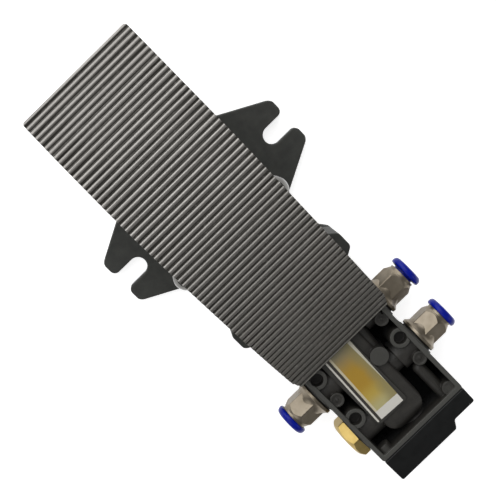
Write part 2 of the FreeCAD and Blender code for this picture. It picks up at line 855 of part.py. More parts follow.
def body_bores():
    cuts = [rod(spool_bore, V(0, body_front_y + 1, spool_z), -Y_AXIS, body_front_y - body_rear_y + 2)]
    exhaust_front = V(1, port_a_y + port_pitch, 1)
    for port in ports + [exhaust_front]:
        start = V(0, port.y + chamber_width / 2, spool_z)
        cuts.append(rod(chamber_radius, start, -Y_AXIS, chamber_width))
    for port in ports:
        inward = V(-port.x, 0, 0)
        start = V(port.x * (pad_face + 1), port.y, port_z)
        cuts.append(rod(port_bore, start, inward, port_depth + 1))
        cuts.append(rod(passage_radius, V(start.x, start.y, spool_z + 2.0), inward, pad_face))
    for x, y in stud_places:
        dish = V(x, y, body_top - stud_sink - stud_dish_depth)
        cuts.append(rod(stud_dish, dish, Z_AXIS, 5).cut(rod(stud_nib, dish, Z_AXIS, stud_dish_depth / 2)))
    for x, y in tower_places:
        cuts.append(rod(tower_hole, V(x, y, body_top - tower_sink - tower_hole_depth), Z_AXIS, 30))
        depth = screw_seat_z + body_screw_length + hole_spare
        cuts.append(rod(body_screw_radius + press_gap, V(x, y, 0), Z_AXIS, depth))
    depth = gland_length - gland_flange + hole_spare
    gland_hole = V(0, body_front_y + 1, spool_z)
    cuts.append(rod(gland_thread_radius + press_gap, gland_hole, -Y_AXIS, depth + 1))
    depth = cap_screw_seat_y + cap_screw_length - body_rear_y + hole_spare
    for x, z in cap_screw_places:
        hole = V(x, body_rear_y - 1, z)
        cuts.append(rod(cap_screw_radius + press_gap, hole, Y_AXIS, depth + 1))
    return cuts


def screw_bosses():
    """Bosses in the rear corners for the end cap's screws."""
    length = cap_screw_seat_y + cap_screw_length - body_rear_y + hole_spare + 1
    radius = cap_screw_radius + screw_boss_wall
    return [rod(radius, V(x, body_rear_y, z), Y_AXIS, length) for x, z in cap_screw_places]


def valve_body():
    shape = body_shell()
    grown = spool_housing() + [label_pad()] + port_bosses() + towers() + cast_passages() + screw_bosses()
    shape = shape.fuse(grown)
    keep = slab((-pad_face, pad_face), (body_rear_y, body_front_y), (body_bottom, body_top))
    return shape.common(keep).cut(body_bores()).removeSplitter()


def front_gland():
    """The screwed gland in the body's front face that guides the push rod and holds its seal."""
    start = V(0, body_front_y + gland_flange, spool_z)
    inner = rod_radius + running_gap
    groove = inner + 2 * rod_seal_radius + 0.1
    seal_at = gland_flange + 0.6
    profile = [
        (0, inner),
        (0, gland_radius - 0.8),
        (0.8, gland_radius),
        (gland_flange, gland_radius),
        (gland_flange, gland_thread_radius),
        (gland_length, gland_thread_radius),
        (gland_length, inner),
        (seal_at + 2 * rod_seal_radius + 0.2, inner),
        (seal_at + 2 * rod_seal_radius + 0.2, groove),
        (seal_at, groove),
        (seal_at, inner),
    ]
    return turned(profile, start, -Y_AXIS)


def rod_seal():
    y = body_front_y - 0.6 - rod_seal_radius - 0.1
    return ring(rod_radius + running_gap + rod_seal_radius, rod_seal_radius, V(0, y, spool_z), Y_AXIS)


def seal_places():
    """Seals that part the chambers, at rest; each works on a land of the bore at one end of the stroke."""
    lands = [port_a_y + port_pitch / 2, port_a_y - port_pitch / 2]
    lands += [port_a_y - 3 * port_pitch / 2, port_a_y - 5 * port_pitch / 2]
    places = [lands[0] + stroke, lands[1], lands[2] + stroke, lands[3]]
    return places + [port_r.y - chamber_width / 2 - 2.6]


def spool():
    """A shaft with a land behind each seal, bored at its tail for the return spring."""
    land = spool_bore - land_gap
    groove_half = seal_radius + seal_half_gap
    shape = rod(spool_neck, V(0, spool_front_y, spool_z), -Y_AXIS, spool_front_y - spool_rear_y)
    solids = []
    for y in seal_places():
        solids.append(rod(land, V(0, y + groove_half + 1.0, spool_z), -Y_AXIS, 2 * groove_half + 2.0))
    last = seal_places()[-1]
    solids.append(rod(land, V(0, last, spool_z), -Y_AXIS, last - spool_rear_y))
    shape = shape.fuse(solids)
    cuts = []
    for y in seal_places():
        groove = rod(spool_bore + 1, V(0, y + groove_half, spool_z), -Y_AXIS, 2 * groove_half)
        cuts.append(groove.cut(rod(seal_groove, V(0, y + 2, spool_z), -Y_AXIS, 4)))
    cuts.append(rod(spring_pocket, V(0, spool_rear_y - 1, spool_z), Y_AXIS, spring_pocket_depth + 1))
    tail_hole = V(0, spool_front_y + 1, spool_z)
    cuts.append(rod(rod_tail_radius + press_gap, tail_hole, -Y_AXIS, rod_tail_length + 1.5))
    return shape.cut(cuts).removeSplitter()


def spool_seals():
    return Part.makeCompound(
        [ring(seal_groove + seal_radius, seal_radius, V(0, y, spool_z), Y_AXIS) for y in seal_places()]
    )


def push_rod():
    """The rod between the adjusting screw and the spool, with a flat head and a threaded tail."""
    profile = [
        (0, 0),
        (0, rod_head_radius - 0.8),
        (0.8, rod_head_radius),
        (rod_head_height, rod_head_radius),
        (rod_head_height, 0),
    ]
    head = turned(profile, V(0, rod_nose_y, spool_z), -Y_AXIS)
    start = V(0, rod_nose_y - rod_head_height, spool_z)
    shaft = rod(rod_radius, start, -Y_AXIS, start.y - spool_front_y)
    tail = rod(rod_tail_radius, V(0, spool_front_y, spool_z), -Y_AXIS, rod_tail_length)
    return head.fuse([shaft, tail]).removeSplitter()


def return_spring():
    """Compression spring between the bottom of the spool's pocket and the end cap."""
    start_y = spool_rear_y + spring_pocket_depth - spring_wire / 2 - 0.05
    end_y = cap_back_y + cap_floor + spring_wire / 2 + 0.05
    helix = Part.makeHelix(spring_pitch, start_y - end_y, spring_radius)
    corners = []
    for k in range(8):
        angle = math.radians(45 * k + 22.5)
        out, up = math.cos(angle) * spring_wire / 2, math.sin(angle) * spring_wire / 2
        corners.append(V(spring_radius + out, 0, up))
    section = Part.makePolygon(corners + [corners[0]])
    coil = Part.Wire(helix).makePipeShell([section], True, True)
    coil.rotate(V(0, 0, 0), X_AXIS, 90)
    coil.translate(V(0, start_y, spool_z))
    return coil


def end_cap():
    """The moulded cap on the rear face, with its thinner corner and the spring's pocket."""
    points = [
        (-body_half + cap_side_inset, cap_face_y),
        (body_half - cap_side_inset, cap_face_y),
        (body_half - 2 * cap_side_inset, cap_thin_y),
        (cap_step_x + cap_step_run, cap_thin_y),
        (cap_step_x, cap_back_y),
        (-body_half + 2 * cap_side_inset, cap_back_y),
    ]
    shape = plan_prism(points, [0, 0, cap_edge, 1.5, 1.5, cap_edge], body_bottom, body_top)
    cuts = [rod(spool_bore, V(0, cap_face_y + 1, spool_z), -Y_AXIS, 4.0)]
    cuts.append(rod(spring_pocket, V(0, cap_face_y + 1, spool_z), -Y_AXIS, cap_thickness + 1 - cap_floor))
    for x, z in cap_screw_places:
        cuts.append(rod(cap_screw_radius + 0.15, V(x, cap_face_y + 1, z), -Y_AXIS, 20))
        cuts.append(rod(cap_screw_head + 0.25, V(x, cap_screw_seat_y, z), -Y_AXIS, 20))
    return shape.cut(cuts).removeSplitter()


def end_cap_gasket():
    x = body_half - gasket_inset
    low_z = body_bottom + gasket_inset
    high_z = body_top - gasket_inset
    outline = [(-x, low_z), (x, low_z), (x, high_z), (-x, high_z)]
    shape = end_prism(outline, [1.0] * 4, cap_face_y, body_rear_y)
    cuts = [rod(spool_bore, V(0, cap_face_y - 1, spool_z), Y_AXIS, 3)]
    for x, z in cap_screw_places:
        cuts.append(rod(cap_screw_radius + 0.15, V(x, cap_face_y - 1, z), Y_AXIS, 3))
    return shape.cut(cuts)


def end_cap_screws():
    solids = []
    for x, z in cap_screw_places:
        seat = V(x, cap_screw_seat_y, z)
        shank = rod(cap_screw_radius, seat, Y_AXIS, cap_screw_length)
        head = rod(cap_screw_head, seat, -Y_AXIS, cap_screw_head_height)
        recess_start = seat - Y_AXIS * (cap_screw_head_height - screw_socket_depth)
        recess = hexagon(screw_socket, recess_start, -Y_AXIS, screw_socket_depth + 1, 0)
        solids.append(shank.fuse(head).cut(recess).removeSplitter())
    return Part.makeCompound(solids)


def body_screws():
    """Screws put in from below, through the tongue into the feet of the towers."""
    solids = []
    for x, y in tower_places:
        shank = rod(body_screw_radius, V(x, y, screw_seat_z), Z_AXIS, body_screw_length)
        head = rod(body_screw_head, V(x, y, screw_seat_z), -Z_AXIS, body_screw_head_height)
        recess_start = V(x, y, body_screw_sink + screw_socket_depth)
        recess = hexagon(screw_socket, recess_start, -Z_AXIS, screw_socket_depth + 1, 0)
        solids.append(shank.fuse(head).cut(recess).removeSplitter())
    return Part.makeCompound(solids)


def label_plate():
    """A thin blank plate stuck slightly askew on the raised pad."""
    half = label_width / 2
    points = [(-half, 0), (half, 0), (half, label_length), (-half, label_length)]
    shape = plan_prism(points, [label_corner] * 4, 0, label_thickness)
    shape.rotate(V(0, 0, 0), Z_AXIS, -label_skew)
    shape.translate(V(label_end_x, body_front_y - label_from_front, label_pad_top))
    return shape


def port_start(port, along):
    return V(port.x * (pad_face + along), port.y, port_z)


def fitting_body(port, turn):
    """Nickel-plated push-in body: stem, round flange, hexagon with a corner up and the tube socket."""
    out = V(port.x, 0, 0)
    start = port_start(port, 0)
    stem = rod(stem_radius, port_start(port, -stem_length), out, stem_length + flange_start)
    flange_profile = [
        (flange_start, 0),
        (flange_start, flange_radius - flange_edge),
        (flange_start + flange_edge, flange_radius),
        (flange_end - flange_edge, flange_radius),
        (flange_end, flange_radius - flange_edge),
        ((flange_end + shoulder_end) / 2, fitting_flats / 2 + 0.9),
        (shoulder_end, fitting_flats / 2 + 0.2),
        (shoulder_end + 0.8, fitting_flats / 2 - 0.1),
        (shoulder_end + 0.8, 0),
    ]
    bar_start = flange_end
    bar = hexagon(fitting_flats, port_start(port, bar_start), out, hex_end - bar_start, turn)
    corner = fitting_flats / math.sqrt(3)
    rounding = [
        (bar_start, 0),
        (bar_start, fitting_flats / 2),
        (shoulder_end, corner - 0.4),
        (shoulder_end + 0.6, corner),
        (hex_end - hex_rounding, corner),
        (hex_end - 0.4 * hex_rounding, fitting_flats / 2 + 0.1),
        (hex_end, hex_end_radius),
        (hex_end, 0),
    ]
    neck = rod(neck_radius, port_start(port, hex_end - 0.5), out, neck_end - hex_end + 0.5)
    bar = bar.common(turned(rounding, start, out))
    shape = stem.fuse([turned(flange_profile, start, out), bar, neck])
    bore = [
        (-stem_length - 1, 0),
        (-stem_length - 1, fitting_passage),
        (tube_stop, fitting_passage),
        (tube_stop, tube_bore),
        (tube_seat_end, tube_bore),
        (tube_seat_end, seal_pocket_radius),
        (neck_end + 1, seal_pocket_radius),
        (neck_end + 1, 0),
    ]
    return shape.cut(turned(bore, start, out)).removeSplitter()


def fitting_tube_seal(port):
    mean = tube_bore + 0.03 + tube_seal_section
    along = tube_seat_end + tube_seal_section + 0.1
    return ring(mean, tube_seal_section, port_start(port, along), X_AXIS)


def fitting_grab_ring(port):
    """The toothed stainless ring that holds the tube; its teeth lean inwards."""
    out = V(port.x, 0, 0)
    start = port_start(port, 0)
    profile = [
        (seal_pocket_end, seal_pocket_radius - 0.02),
        (seal_pocket_end + grab_ring_thickness, seal_pocket_radius - 0.02),
        (seal_pocket_end + grab_ring_thickness, tube_bore + 0.9),
        (seal_pocket_end + grab_ring_thickness - 0.5, tube_bore + 0.05),
        (seal_pocket_end - 0.5, tube_bore + 0.05),
        (seal_pocket_end, tube_bore + 0.9),
    ]
    shape = turned(profile, start, out)
    slits = []
    for k in range(8):
        slit = slab((-1.5, 1.5), (-0.3, 0.3), (tube_bore - 1, tube_bore + 1.0))
        slit.rotate(V(0, 0, 0), X_AXIS, 45 * k)
        slit.translate(port_start(port, seal_pocket_end))
        slits.append(slit)
    return shape.cut(slits)


def fitting_collar(port, drawn_out):
    """The release collar: a stepped sleeve that slides in the body and carries a round flange."""
    out = V(port.x, 0, 0)
    flange_half = (collar_end - collar_start) / 2
    sleeve = [
        (collar_stem_start, tube_bore + 0.25),
        (collar_stem_start, collar_stem - 0.35),
        (collar_stem_start + 0.8, collar_stem),
        (collar_floor, collar_stem),
        (collar_floor, neck_radius + collar_lap),
        (collar_start, neck_radius + collar_lap),
        (collar_start, collar_radius - 0.5),
        (collar_start + 0.5, collar_radius),
        (collar_start + flange_half + 0.4, collar_radius),
        (collar_end, collar_radius - 1.2),
        (collar_end, tube_bore + 0.75),
        (collar_end - 0.7, tube_bore + 0.1),
        (collar_stem_start + 1.2, tube_bore + 0.1),
    ]
    return turned(sleeve, port_start(port, drawn_out), out)


def collar_guide(port):
    """The ring pressed in the mouth of the body that the collar slides in."""
    out = V(port.x, 0, 0)
    inner = collar_stem + 2 * running_gap
    low = neck_end - guide_length
    high = neck_end
    profile = [(low, inner), (low, seal_pocket_radius), (high, seal_pocket_radius), (high, inner)]
    return turned(profile, port_start(port, 0), out)


def fitting_face_seal(port):
    section = flange_start / 2
    return ring(face_seal_radius, section, port_start(port, section), X_AXIS)


def silencer_body():
    """Brass hexagon plug of the exhaust port, hollow, with a rounded outer face."""
    out = V(port_r.x, 0, 0)
    bar = hexagon(silencer_flats, port_start(port_r, 0), out, silencer_length, 0)
    corner = silencer_flats / math.sqrt(3)
    rounding = [
        (0, 0),
        (0, corner - 0.9),
        (0.7, corner),
        (silencer_length - 2.2, corner),
        (silencer_length - 0.6, silencer_flats / 2 - 0.3),
        (silencer_length, silencer_flats / 2 - 1.4),
        (silencer_length, 0),
    ]
    bar = bar.common(turned(rounding, port_start(port_r, 0), out))
    stem = rod(stem_radius, port_start(port_r, -stem_length), out, stem_length + 0.5)
    cuts = [rod(silencer_bore, port_start(port_r, silencer_disc_start), out, silencer_length)]
    cuts.append(rod(silencer_passage, port_start(port_r, -stem_length - 1), out, 20))
    return bar.fuse(stem).cut(cuts).removeSplitter()


def silencer_disc():
    out = V(port_r.x, 0, 0)
    start = port_start(port_r, silencer_disc_start)
    return rod(silencer_bore - press_gap, start, out, silencer_disc_thickness)


nodes = {
    "pedal": pedal(),
    "pivot_pin": pivot_pin(),
    "pin_cap": pin_cap(),
    "adjusting_screw": adjusting_screw(),
    "lock_nut": lock_nut(),
    "base_frame": base_frame(),
    "left_cheek": cheek(-1),
    "right_cheek": cheek(1),
    "heel_post": heel_post(),
    "toe_post": toe_post(),
    "pivot_bushes": pivot_bushes(),
    "press_buffer": rubber_buffer(press_stop_y, travel),
    "rest_buffer": rubber_buffer(rest_stop_y, 0),
    "rod_bush": rod_bush(),
    "valve_body": valve_body(),
    "front_gland": front_gland(),
    "rod_seal": rod_seal(),
    "spool": spool(),
    "spool_seals": spool_seals(),
    "push_rod": push_rod(),
    "return_spring": return_spring(),
    "end_cap": end_cap(),
    "end_cap_gasket": end_cap_gasket(),
    "end_cap_screws": end_cap_screws(),
    "body_screws": body_screws(),
    "label_plate": label_plate(),
    "silencer_body": silencer_body(),
    "silencer_disc": silencer_disc(),
}
fittings = (
    ("a", port_a, port_a_turn, port_a_collar_out),
    ("b", port_b, 0.0, 0.0),
    ("p", port_p, 0.0, 0.0),
)
for name, port, turn, drawn_out in fittings:
    nodes["fitting_" + name + "_body"] = fitting_body(port, turn)
    nodes["fitting_" + name + "_tube_seal"] = fitting_tube_seal(port)
    nodes["fitting_" + name + "_grab_ring"] = fitting_grab_ring(port)
    nodes["fitting_" + name + "_guide"] = collar_guide(port)
    nodes["fitting_" + name + "_collar"] = fitting_collar(port, drawn_out)
    nodes["fitting_" + name + "_face_seal"] = fitting_face_seal(port)

os.makedirs("parts", exist_ok=True)
for node, shape in nodes.items():
    shape.exportStep("parts/" + node + ".step")
    print(node, shape.isValid(), len(shape.Solids), round(shape.Volume, 1))
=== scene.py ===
# %% [markdown]
# # A foot pedal air valve
# The real object is a floor valve: a ribbed die-cast pedal rocks on a pin in a cast frame and pushes the
# spool of an air valve. The engineering model gives every piece at its size and place. This lesson rounds
# the edges that casting, moulding and plating leave round, and gives each piece its finish.

import json
import math

import bpy
from mathutils import Euler, Matrix, Vector


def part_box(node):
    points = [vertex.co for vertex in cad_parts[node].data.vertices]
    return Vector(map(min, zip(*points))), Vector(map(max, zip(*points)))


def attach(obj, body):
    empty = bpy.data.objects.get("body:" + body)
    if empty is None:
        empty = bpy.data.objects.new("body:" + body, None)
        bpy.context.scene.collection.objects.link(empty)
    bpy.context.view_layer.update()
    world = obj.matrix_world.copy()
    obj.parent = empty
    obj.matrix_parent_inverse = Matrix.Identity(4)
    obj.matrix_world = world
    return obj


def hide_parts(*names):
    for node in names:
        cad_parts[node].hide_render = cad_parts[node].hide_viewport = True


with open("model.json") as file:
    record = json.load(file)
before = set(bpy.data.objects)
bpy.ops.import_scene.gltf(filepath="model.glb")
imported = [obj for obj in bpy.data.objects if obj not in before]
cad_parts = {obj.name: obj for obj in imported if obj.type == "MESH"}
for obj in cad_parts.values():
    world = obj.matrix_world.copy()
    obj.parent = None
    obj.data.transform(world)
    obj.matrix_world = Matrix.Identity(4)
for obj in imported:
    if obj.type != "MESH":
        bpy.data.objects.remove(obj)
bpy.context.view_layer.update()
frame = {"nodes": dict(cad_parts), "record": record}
nodes = frame["nodes"]
record = frame["record"]

# %% [markdown]
# The photograph looks down on the valve, which lies along the picture's diagonal. The camera was fitted to
# the even ribs and the outlines in the picture, and comes out about half a metre above the floor. That
# distance is as good as the size that was worked out for the object. Its turns are in degrees.

# %% Camera
camera_lens = 82.8
camera_sensor = 36.0
camera_place = Vector((0.01765, 0.05353, 0.52208))
camera_turns = (-8.042, -4.876, -44.128)

camera_data = bpy.data.cameras.new("photo_camera")
camera_data.lens = camera_lens
camera_data.sensor_width = camera_sensor
camera_data.clip_start = 0.01
camera_data.clip_end = 20.0
camera = bpy.data.objects.new("photo_camera", camera_data)
bpy.context.scene.collection.objects.link(camera)
camera.location = camera_place
camera.rotation_euler = Euler([math.radians(turn) for turn in camera_turns])
bpy.context.scene.camera = camera
print("camera at", tuple(camera.location), "with a lens of", camera_lens, "mm")

# %% [markdown]
# Every colour below is written as the hex value that a picture editor shows. Blender's sockets want linear
# light, so one function does that change. A second one adds any shader node with its settings and links.

# %% Colour and node helpers
MM = 0.001  # metres


def linear(hex_code):
    """Turn an sRGB hex value into a linear colour with alpha."""
    channels = [int(hex_code[i : i + 2], 16) / 255 for i in (1, 3, 5)]
    curve = [c / 12.92 if c <= 0.04045 else ((c + 0.055) / 1.055) ** 2.4 for c in channels]
    return (*curve, 1.0)


def add_node(tree, kind, settings=None, links=None):
    """Add a shader node, with its properties and plain inputs set and its linked inputs joined."""
    node = tree.nodes.new(kind)
    for name, value in (settings or {}).items():
        if hasattr(node, str(name)):
            setattr(node, name, value)
        else:
            node.inputs[name].default_value = value
    for name, source in (links or {}).items():
        tree.links.new(source, node.inputs[name])
    return node


def new_material(name, finish):
    """Start a material: one Principled surface with plain settings, and the object's own coordinates."""
    made = bpy.data.materials.new(name)
    made.use_nodes = True
    tree = made.node_tree
    tree.nodes.clear()
    surface = add_node(tree, "ShaderNodeBsdfPrincipled", finish)
    add_node(tree, "ShaderNodeOutputMaterial", links={"Surface": surface.outputs["BSDF"]})
    place = add_node(tree, "ShaderNodeTexCoord").outputs["Object"]
    return made, tree, surface, place


def per_metre(size_mm):
    """The scale of a pattern whose marks are that many millimetres apart."""
    return 1.0 / (size_mm * MM)


print("white in linear light:", linear("#ffffff"))

# %% [markdown]
# The object was photographed on pure white. The floor glows white for the camera and still takes a soft
# shadow, and the lamps stay at a plain level. They are large, so that polished metal shows broad soft
# bands and not white dots. The strongest stands past the toe of the pedal, whose front ribs are brightest.

# %% Floor and light
lamp_target = Vector((0, -0.03, 0.03))
paper_glow = 0.76


def studio_floor():
    bpy.ops.mesh.primitive_plane_add(size=6.0, location=(0, 0, -0.2 * MM))
    floor = bpy.context.object
    floor.name = "studio_floor"
    made, tree, surface, _ = new_material("white_paper", {"Roughness": 0.9, "Base Color": linear("#dcdcdc")})
    path = add_node(tree, "ShaderNodeLightPath")
    glow = add_node(tree, "ShaderNodeEmission", {"Strength": paper_glow})
    both = add_node(tree, "ShaderNodeAddShader", links={0: surface.outputs["BSDF"], 1: glow.outputs["Emission"]})
    seen = {0: path.outputs["Is Camera Ray"], 1: path.outputs["Is Glossy Ray"]}
    either = add_node(tree, "ShaderNodeMath", {"operation": "MAXIMUM"}, seen)
    links = {"Fac": either.outputs["Value"], 1: surface.outputs["BSDF"], 2: both.outputs["Shader"]}
    mixed = add_node(tree, "ShaderNodeMixShader", links=links)
    output = [n for n in tree.nodes if n.type == "OUTPUT_MATERIAL"][0]
    tree.links.new(mixed.outputs["Shader"], output.inputs["Surface"])
    floor.data.materials.append(made)


def studio_world(strength):
    world = bpy.data.worlds.new("studio_world")
    bpy.context.scene.world = world
    world.use_nodes = True
    tree = world.node_tree
    tree.nodes.clear()
    path = add_node(tree, "ShaderNodeLightPath")
    soft = add_node(tree, "ShaderNodeBackground", {"Strength": strength})
    white = add_node(tree, "ShaderNodeBackground", {"Color": linear("#ffffff")})
    links = {"Fac": path.outputs["Is Camera Ray"], 1: soft.outputs["Background"], 2: white.outputs["Background"]}
    mixed = add_node(tree, "ShaderNodeMixShader", links=links)
    add_node(tree, "ShaderNodeOutputWorld", links={"Surface": mixed.outputs["Shader"]})


def area_lamp(name, place, size, watts):
    """A square lamp aimed at the middle of the object."""
    lamp = bpy.data.lights.new(name, "AREA")
    lamp.size = size
    lamp.energy = watts
    made = bpy.data.objects.new(name, lamp)
    bpy.context.scene.collection.objects.link(made)
    made.location = place
    made.rotation_euler = (lamp_target - made.location).to_track_quat("-Z", "Y").to_euler()


studio_floor()
studio_world(strength=0.3)
area_lamp("toe_softbox", Vector((0.2, 1.2, 0.8)), size=2.3, watts=33.0)
area_lamp("side_softbox", Vector((-0.9, 0.1, 0.9)), size=0.9, watts=3.0)
area_lamp("heel_softbox", Vector((0.5, -1.1, 0.7)), size=0.6, watts=1.5)
bpy.context.scene.view_settings.view_transform = "Standard"
print("floor, world and three lamps are set")

# %% [markdown]
# Most surfaces here share one character: a colour that wanders a little over some millimetres, and a fine
# grain that breaks the gloss. One function makes that ground, and each finish is then named for what it is.

# %% A grained ground for paint, plating, plastic and rubber


def grained(name, dark, light, metallic, roughness, blotch_mm=4.0, grain_mm=0.5, relief=0.25, specular=0.5):
    """Colour between dark and light by a slow noise, with roughness and a shallow relief from a fine one."""
    made, tree, surface, place = new_material(name, {"Metallic": metallic, "Specular IOR Level": specular})
    blotch = add_node(tree, "ShaderNodeTexNoise", {"Scale": per_metre(blotch_mm), "Detail": 5.0}, {"Vector": place})
    grain = add_node(tree, "ShaderNodeTexNoise", {"Scale": per_metre(grain_mm), "Detail": 2.0}, {"Vector": place})
    settings = {"From Min": 0.3, "From Max": 0.7}
    spread = add_node(tree, "ShaderNodeMapRange", settings, {"Value": blotch.outputs["Fac"]})
    settings = {"data_type": "RGBA", 6: linear(dark), 7: linear(light)}
    colour = add_node(tree, "ShaderNodeMix", settings, {0: spread.outputs["Result"]})
    tree.links.new(colour.outputs[2], surface.inputs["Base Color"])
    settings = {"To Min": roughness - 0.06, "To Max": roughness + 0.08}
    rough = add_node(tree, "ShaderNodeMapRange", settings, {"Value": grain.outputs["Fac"]})
    tree.links.new(rough.outputs["Result"], surface.inputs["Roughness"])
    settings = {"Strength": relief, "Distance": 0.06 * MM}
    bump = add_node(tree, "ShaderNodeBump", settings, {"Height": grain.outputs["Fac"]})
    tree.links.new(bump.outputs["Normal"], surface.inputs["Normal"])
    return made, tree, surface, place, colour.outputs[2]


def over(tree, share, under_colour, top_colour):
    """Lay a plain colour over a socket's colour, or over another plain one, by a share from 0 to 1."""
    settings = {"data_type": "RGBA", 7: linear(top_colour)}
    links = {0: share}
    if isinstance(under_colour, str):
        settings[6] = linear(under_colour)
    else:
        links[6] = under_colour
    return add_node(tree, "ShaderNodeMix", settings, links).outputs[2]


print("the grained ground is ready")

# %% [markdown]
# The pedal is die-cast and sprayed with warm grey paint. In the photograph its rib crests are brightest
# towards the toe, its grooves are dark, and it gets darker and browner at the heel. The photograph can't
# tell paint from light, so these tints are fitted to its brightness and carry part of its lighting. The
# crests are found by their distance from the axis of the pedal's arch, so the tint follows the curve.

# %% Pedal paint
pedal_low, pedal_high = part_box("pedal")
arch_radius = 194.0 * MM
groove_depth = 0.85 * MM
arch_top_y = 19.0 * MM
arch_centre = Vector((0.0, arch_top_y, pedal_high.z - arch_radius))
# span along Y, in metres, of the painted shade that darkens the heel
heel_shade_from, heel_shade_to = -80.0 * MM, 20.0 * MM
# span along Y, in metres, of the painted shade that tones the toe down
toe_shade_from, toe_shade_to = 5.0 * MM, 75.0 * MM
scuff_mm = 1.6


def sprayed_grey_paint():
    made, tree, surface, place, colour = grained(
        "sprayed_grey_paint", "#a5a29e", "#b5b2ae", 0.42, 0.36, blotch_mm=6.0, grain_mm=0.45, relief=0.3
    )
    settings = {"Location": -arch_centre * Vector((0, 1, 1)), "Scale": (0, 1, 1)}
    centred = add_node(tree, "ShaderNodeMapping", settings, {"Vector": place})
    radius = add_node(tree, "ShaderNodeVectorMath", {"operation": "LENGTH"}, {0: centred.outputs["Vector"]})
    settings = {"From Min": arch_radius - 0.6 * groove_depth, "From Max": arch_radius - 0.15 * groove_depth}
    crest = add_node(tree, "ShaderNodeMapRange", settings, {"Value": radius.outputs["Value"]})
    apart = add_node(tree, "ShaderNodeSeparateXYZ", links={0: place})
    # painted shade: the colour turns darker and browner towards the heel, whose slope faces away from the toe lamp
    settings = {"From Min": heel_shade_from, "From Max": heel_shade_to, "To Min": 1.0, "To Max": 0.0}
    heel = add_node(tree, "ShaderNodeMapRange", settings, {"Value": apart.outputs["Y"]})
    # painted shade: the toe is toned down towards #908d89, tempering the toe lamp's brightness on the front ribs
    settings = {"From Min": toe_shade_from, "From Max": toe_shade_to, "To Max": 0.8}
    toe = add_node(tree, "ShaderNodeMapRange", settings, {"Value": apart.outputs["Y"]})
    heel_shaded = over(tree, heel.outputs["Result"], colour, "#696761")
    toe_shaded = over(tree, toe.outputs["Result"], heel_shaded, "#908d89")
    # painted shade: faces that do not lean towards the toe lamp are darkened towards #605d59, so the flat rib tops
    # stay dark and the toe-facing edges light
    facing = add_node(tree, "ShaderNodeTexCoord").outputs["Normal"]
    lean = add_node(tree, "ShaderNodeSeparateXYZ", links={0: facing})
    settings = {"From Min": -0.1, "From Max": 0.3, "To Min": 0.75, "To Max": 0.0}
    level = add_node(tree, "ShaderNodeMapRange", settings, {"Value": lean.outputs["Y"]})
    facing_shaded = over(tree, level.outputs["Result"], toe_shaded, "#605d59")
    # painted shade: the grooves below the rib crests are darkened towards #494742
    painted_groove_shade = add_node(tree, "ShaderNodeMath", {"operation": "SUBTRACT", 0: 1.0}, {1: crest.outputs["Result"]})
    groove_shaded = over(tree, painted_groove_shade.outputs["Value"], facing_shaded, "#494742")
    scuff = add_node(tree, "ShaderNodeTexNoise", {"Scale": per_metre(scuff_mm), "Detail": 6.0}, {"Vector": place})
    settings = {"From Min": 0.56, "From Max": 0.72, "To Max": 0.35}
    scuffed = add_node(tree, "ShaderNodeMapRange", settings, {"Value": scuff.outputs["Fac"]})
    mixed = over(tree, scuffed.outputs["Result"], groove_shaded, "#8f8c87")
    tree.links.new(mixed, surface.inputs["Base Color"])
    return made


print("arch centre in metres:", tuple(arch_centre))

# %% [markdown]
# The open valve body is a casting sprayed dark grey. In the photograph its deep pockets are almost black
# and its rims are lighter. Height above the floor drives both tints, which are fitted to the photograph too.

# %% Valve body paint
body_low, body_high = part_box("valve_body")
# heights between which the painted pocket shade fades out
pocket_shade_floor, pocket_shade_top = body_low.z + 12 * MM, body_high.z - 3 * MM
# heights of the rims' painted highlight and edge wear
rim_wear_and_highlight_from, rim_wear_and_highlight_to = body_high.z - 1.6 * MM, body_high.z - 0.1 * MM


def sprayed_dark_casting():
    made, tree, surface, place, colour = grained(
        "sprayed_dark_casting", "#282623", "#32302c", 0.1, 0.5, blotch_mm=3.0, grain_mm=0.4, relief=0.5
    )
    apart = add_node(tree, "ShaderNodeSeparateXYZ", links={0: place})
    # painted shade: the colour darkens to near black down in the pockets, and the surface dulls with it
    settings = {"From Min": pocket_shade_floor, "From Max": pocket_shade_top, "To Min": 1.0, "To Max": 0.0}
    deep = add_node(tree, "ShaderNodeMapRange", settings, {"Value": apart.outputs["Z"]})
    pocket = over(tree, deep.outputs["Result"], colour, "#030303")
    dull = add_node(tree, "ShaderNodeMath", {"operation": "MAXIMUM", 1: 0.5}, {0: deep.outputs["Result"]})
    tree.links.new(dull.outputs["Value"], surface.inputs["Roughness"])
    # partly painted highlight, partly edge wear: the colour lightens towards #4f4f4b along the top rims
    settings = {"From Min": rim_wear_and_highlight_from, "From Max": rim_wear_and_highlight_to, "To Max": 0.75}
    rim = add_node(tree, "ShaderNodeMapRange", settings, {"Value": apart.outputs["Z"]})
    tree.links.new(over(tree, rim.outputs["Result"], pocket, "#4f4f4b"), surface.inputs["Base Color"])
    return made


print("pocket tint between heights", pocket_shade_floor, pocket_shade_top, "rim tint between", rim_wear_and_highlight_from, rim_wear_and_highlight_to)

# %% [markdown]
# The label is a printed foil with a clear skin. The real one carries print, which is left out: here it has
# stripes at its left, a pale frame, and a field that fades from warm gold to a pale grey-green. The material
# turns into the label's own frame first, and its distances are in millimetres from the label's end.

# %% Label print
label_end = Vector((-6.3 * MM, -124.6 * MM, 0.0))
label_skew = math.radians(2.6)
field_wander = 4.0 * MM


